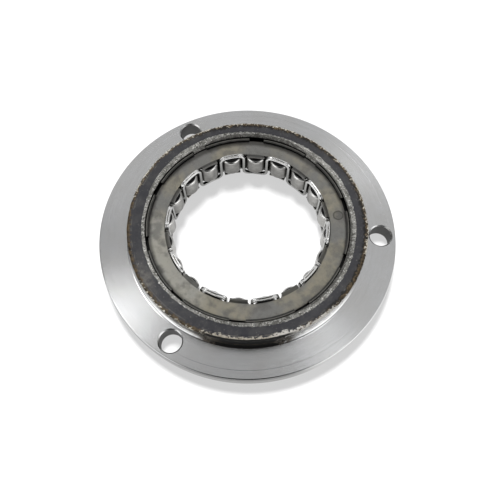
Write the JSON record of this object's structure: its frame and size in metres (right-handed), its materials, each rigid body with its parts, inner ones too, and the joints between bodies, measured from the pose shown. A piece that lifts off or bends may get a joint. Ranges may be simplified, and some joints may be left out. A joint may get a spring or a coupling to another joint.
{
  "type": "one-way roller clutch",
  "caption": "Flanged one-way clutch: a bolted housing with a notched cam cup, end plates, a ring of rollers and a wavy spring strip around a shaft bore.",
  "frame": {"origin": "centre of the mounting face, on the clutch's axis", "axes": "+Z along the axis from the mounting face towards the hub, +X through the first bolt hole"},
  "size_m": [0.118, 0.118, 0.0146],
  "materials": {
    "turned_steel": "turned steel, black oxide left on the hub's top",
    "dark_steel": "hardened steel, dark from heat treatment",
    "plate_steel": "grey-brown tumbled pressing",
    "bright_steel": "polished spring steel",
    "roller_steel": "fine ground"
  },
  "bodies": {
    "housing": {"housing": "turned_steel", "cam_cup": "dark_steel", "top_plate": "plate_steel", "bottom_plate": "plate_steel"},
    "strip": {"spring_strip": "bright_steel"},
    "roller_01": {"roller_01": "roller_steel"},
    "roller_02": {"roller_02": "roller_steel"},
    "roller_03": {"roller_03": "roller_steel"},
    "roller_04": {"roller_04": "roller_steel"},
    "roller_05": {"roller_05": "roller_steel"},
    "roller_06": {"roller_06": "roller_steel"},
    "roller_07": {"roller_07": "roller_steel"},
    "roller_08": {"roller_08": "roller_steel"},
    "roller_09": {"roller_09": "roller_steel"},
    "roller_10": {"roller_10": "roller_steel"},
    "roller_11": {"roller_11": "roller_steel"},
    "roller_12": {"roller_12": "roller_steel"},
    "roller_13": {"roller_13": "roller_steel"},
    "roller_14": {"roller_14": "roller_steel"},
    "roller_15": {"roller_15": "roller_steel"},
    "roller_16": {"roller_16": "roller_steel"},
    "roller_17": {"roller_17": "roller_steel"},
    "roller_18": {"roller_18": "roller_steel"},
    "roller_19": {"roller_19": "roller_steel"},
    "roller_20": {"roller_20": "roller_steel"}
  },
  "joints": [
    {"name": "strip_shift", "type": "hinge", "parent": "housing", "child": "strip", "pos_m": [0, 0, 0.0074], "axis": [0, 0, 1], "range_deg": [-1.4, 1.4]},
    {"name": "roller_01_spin", "type": "hinge", "parent": "strip", "child": "roller_01", "pos_m": [0.03373, -0.00215, 0.0074], "axis": [0, 0, 1], "continuous": true},
    {"name": "roller_02_spin", "type": "hinge", "parent": "strip", "child": "roller_02", "pos_m": [0.03275, 0.00838, 0.0074], "axis": [0, 0, 1], "continuous": true},
    {"name": "roller_03_spin", "type": "hinge", "parent": "strip", "child": "roller_03", "pos_m": [0.02855, 0.01809, 0.0074], "axis": [0, 0, 1], "continuous": true},
    {"name": "roller_04_spin", "type": "hinge", "parent": "strip", "child": "roller_04", "pos_m": [0.02157, 0.02602, 0.0074], "axis": [0, 0, 1], "continuous": true},
    {"name": "roller_05_spin", "type": "hinge", "parent": "strip", "child": "roller_05", "pos_m": [0.01247, 0.03142, 0.0074], "axis": [0, 0, 1], "continuous": true},
    {"name": "roller_06_spin", "type": "hinge", "parent": "strip", "child": "roller_06", "pos_m": [0.00215, 0.03373, 0.0074], "axis": [0, 0, 1], "continuous": true},
    {"name": "roller_07_spin", "type": "hinge", "parent": "strip", "child": "roller_07", "pos_m": [-0.00838, 0.03275, 0.0074], "axis": [0, 0, 1], "continuous": true},
    {"name": "roller_08_spin", "type": "hinge", "parent": "strip", "child": "roller_08", "pos_m": [-0.01809, 0.02855, 0.0074], "axis": [0, 0, 1], "continuous": true},
    {"name": "roller_09_spin", "type": "hinge", "parent": "strip", "child": "roller_09", "pos_m": [-0.02602, 0.02157, 0.0074], "axis": [0, 0, 1], "continuous": true},
    {"name": "roller_10_spin", "type": "hinge", "parent": "strip", "child": "roller_10", "pos_m": [-0.03142, 0.01247, 0.0074], "axis": [0, 0, 1], "continuous": true},
    {"name": "roller_11_spin", "type": "hinge", "parent": "strip", "child": "roller_11", "pos_m": [-0.03373, 0.00215, 0.0074], "axis": [0, 0, 1], "continuous": true},
    {"name": "roller_12_spin", "type": "hinge", "parent": "strip", "child": "roller_12", "pos_m": [-0.03275, -0.00838, 0.0074], "axis": [0, 0, 1], "continuous": true},
    {"name": "roller_13_spin", "type": "hinge", "parent": "strip", "child": "roller_13", "pos_m": [-0.02855, -0.01809, 0.0074], "axis": [0, 0, 1], "continuous": true},
    {"name": "roller_14_spin", "type": "hinge", "parent": "strip", "child": "roller_14", "pos_m": [-0.02157, -0.02602, 0.0074], "axis": [0, 0, 1], "continuous": true},
    {"name": "roller_15_spin", "type": "hinge", "parent": "strip", "child": "roller_15", "pos_m": [-0.01247, -0.03142, 0.0074], "axis": [0, 0, 1], "continuous": true},
    {"name": "roller_16_spin", "type": "hinge", "parent": "strip", "child": "roller_16", "pos_m": [-0.00215, -0.03373, 0.0074], "axis": [0, 0, 1], "continuous": true},
    {"name": "roller_17_spin", "type": "hinge", "parent": "strip", "child": "roller_17", "pos_m": [0.00838, -0.03275, 0.0074], "axis": [0, 0, 1], "continuous": true},
    {"name": "roller_18_spin", "type": "hinge", "parent": "strip", "child": "roller_18", "pos_m": [0.01809, -0.02855, 0.0074], "axis": [0, 0, 1], "continuous": true},
    {"name": "roller_19_spin", "type": "hinge", "parent": "strip", "child": "roller_19", "pos_m": [0.02602, -0.02157, 0.0074], "axis": [0, 0, 1], "continuous": true},
    {"name": "roller_20_spin", "type": "hinge", "parent": "strip", "child": "roller_20", "pos_m": [0.03142, -0.01247, 0.0074], "axis": [0, 0, 1], "continuous": true}
  ],
  "couplings": [
    {"joint": "roller_02_spin", "follows": "roller_01_spin", "ratio": 1},
    {"joint": "roller_03_spin", "follows": "roller_01_spin", "ratio": 1},
    {"joint": "roller_04_spin", "follows": "roller_01_spin", "ratio": 1},
    {"joint": "roller_05_spin", "follows": "roller_01_spin", "ratio": 1},
    {"joint": "roller_06_spin", "follows": "roller_01_spin", "ratio": 1},
    {"joint": "roller_07_spin", "follows": "roller_01_spin", "ratio": 1},
    {"joint": "roller_08_spin", "follows": "roller_01_spin", "ratio": 1},
    {"joint": "roller_09_spin", "follows": "roller_01_spin", "ratio": 1},
    {"joint": "roller_10_spin", "follows": "roller_01_spin", "ratio": 1},
    {"joint": "roller_11_spin", "follows": "roller_01_spin", "ratio": 1},
    {"joint": "roller_12_spin", "follows": "roller_01_spin", "ratio": 1},
    {"joint": "roller_13_spin", "follows": "roller_01_spin", "ratio": 1},
    {"joint": "roller_14_spin", "follows": "roller_01_spin", "ratio": 1},
    {"joint": "roller_15_spin", "follows": "roller_01_spin", "ratio": 1},
    {"joint": "roller_16_spin", "follows": "roller_01_spin", "ratio": 1},
    {"joint": "roller_17_spin", "follows": "roller_01_spin", "ratio": 1},
    {"joint": "roller_18_spin", "follows": "roller_01_spin", "ratio": 1},
    {"joint": "roller_19_spin", "follows": "roller_01_spin", "ratio": 1},
    {"joint": "roller_20_spin", "follows": "roller_01_spin", "ratio": 1}
  ]
}
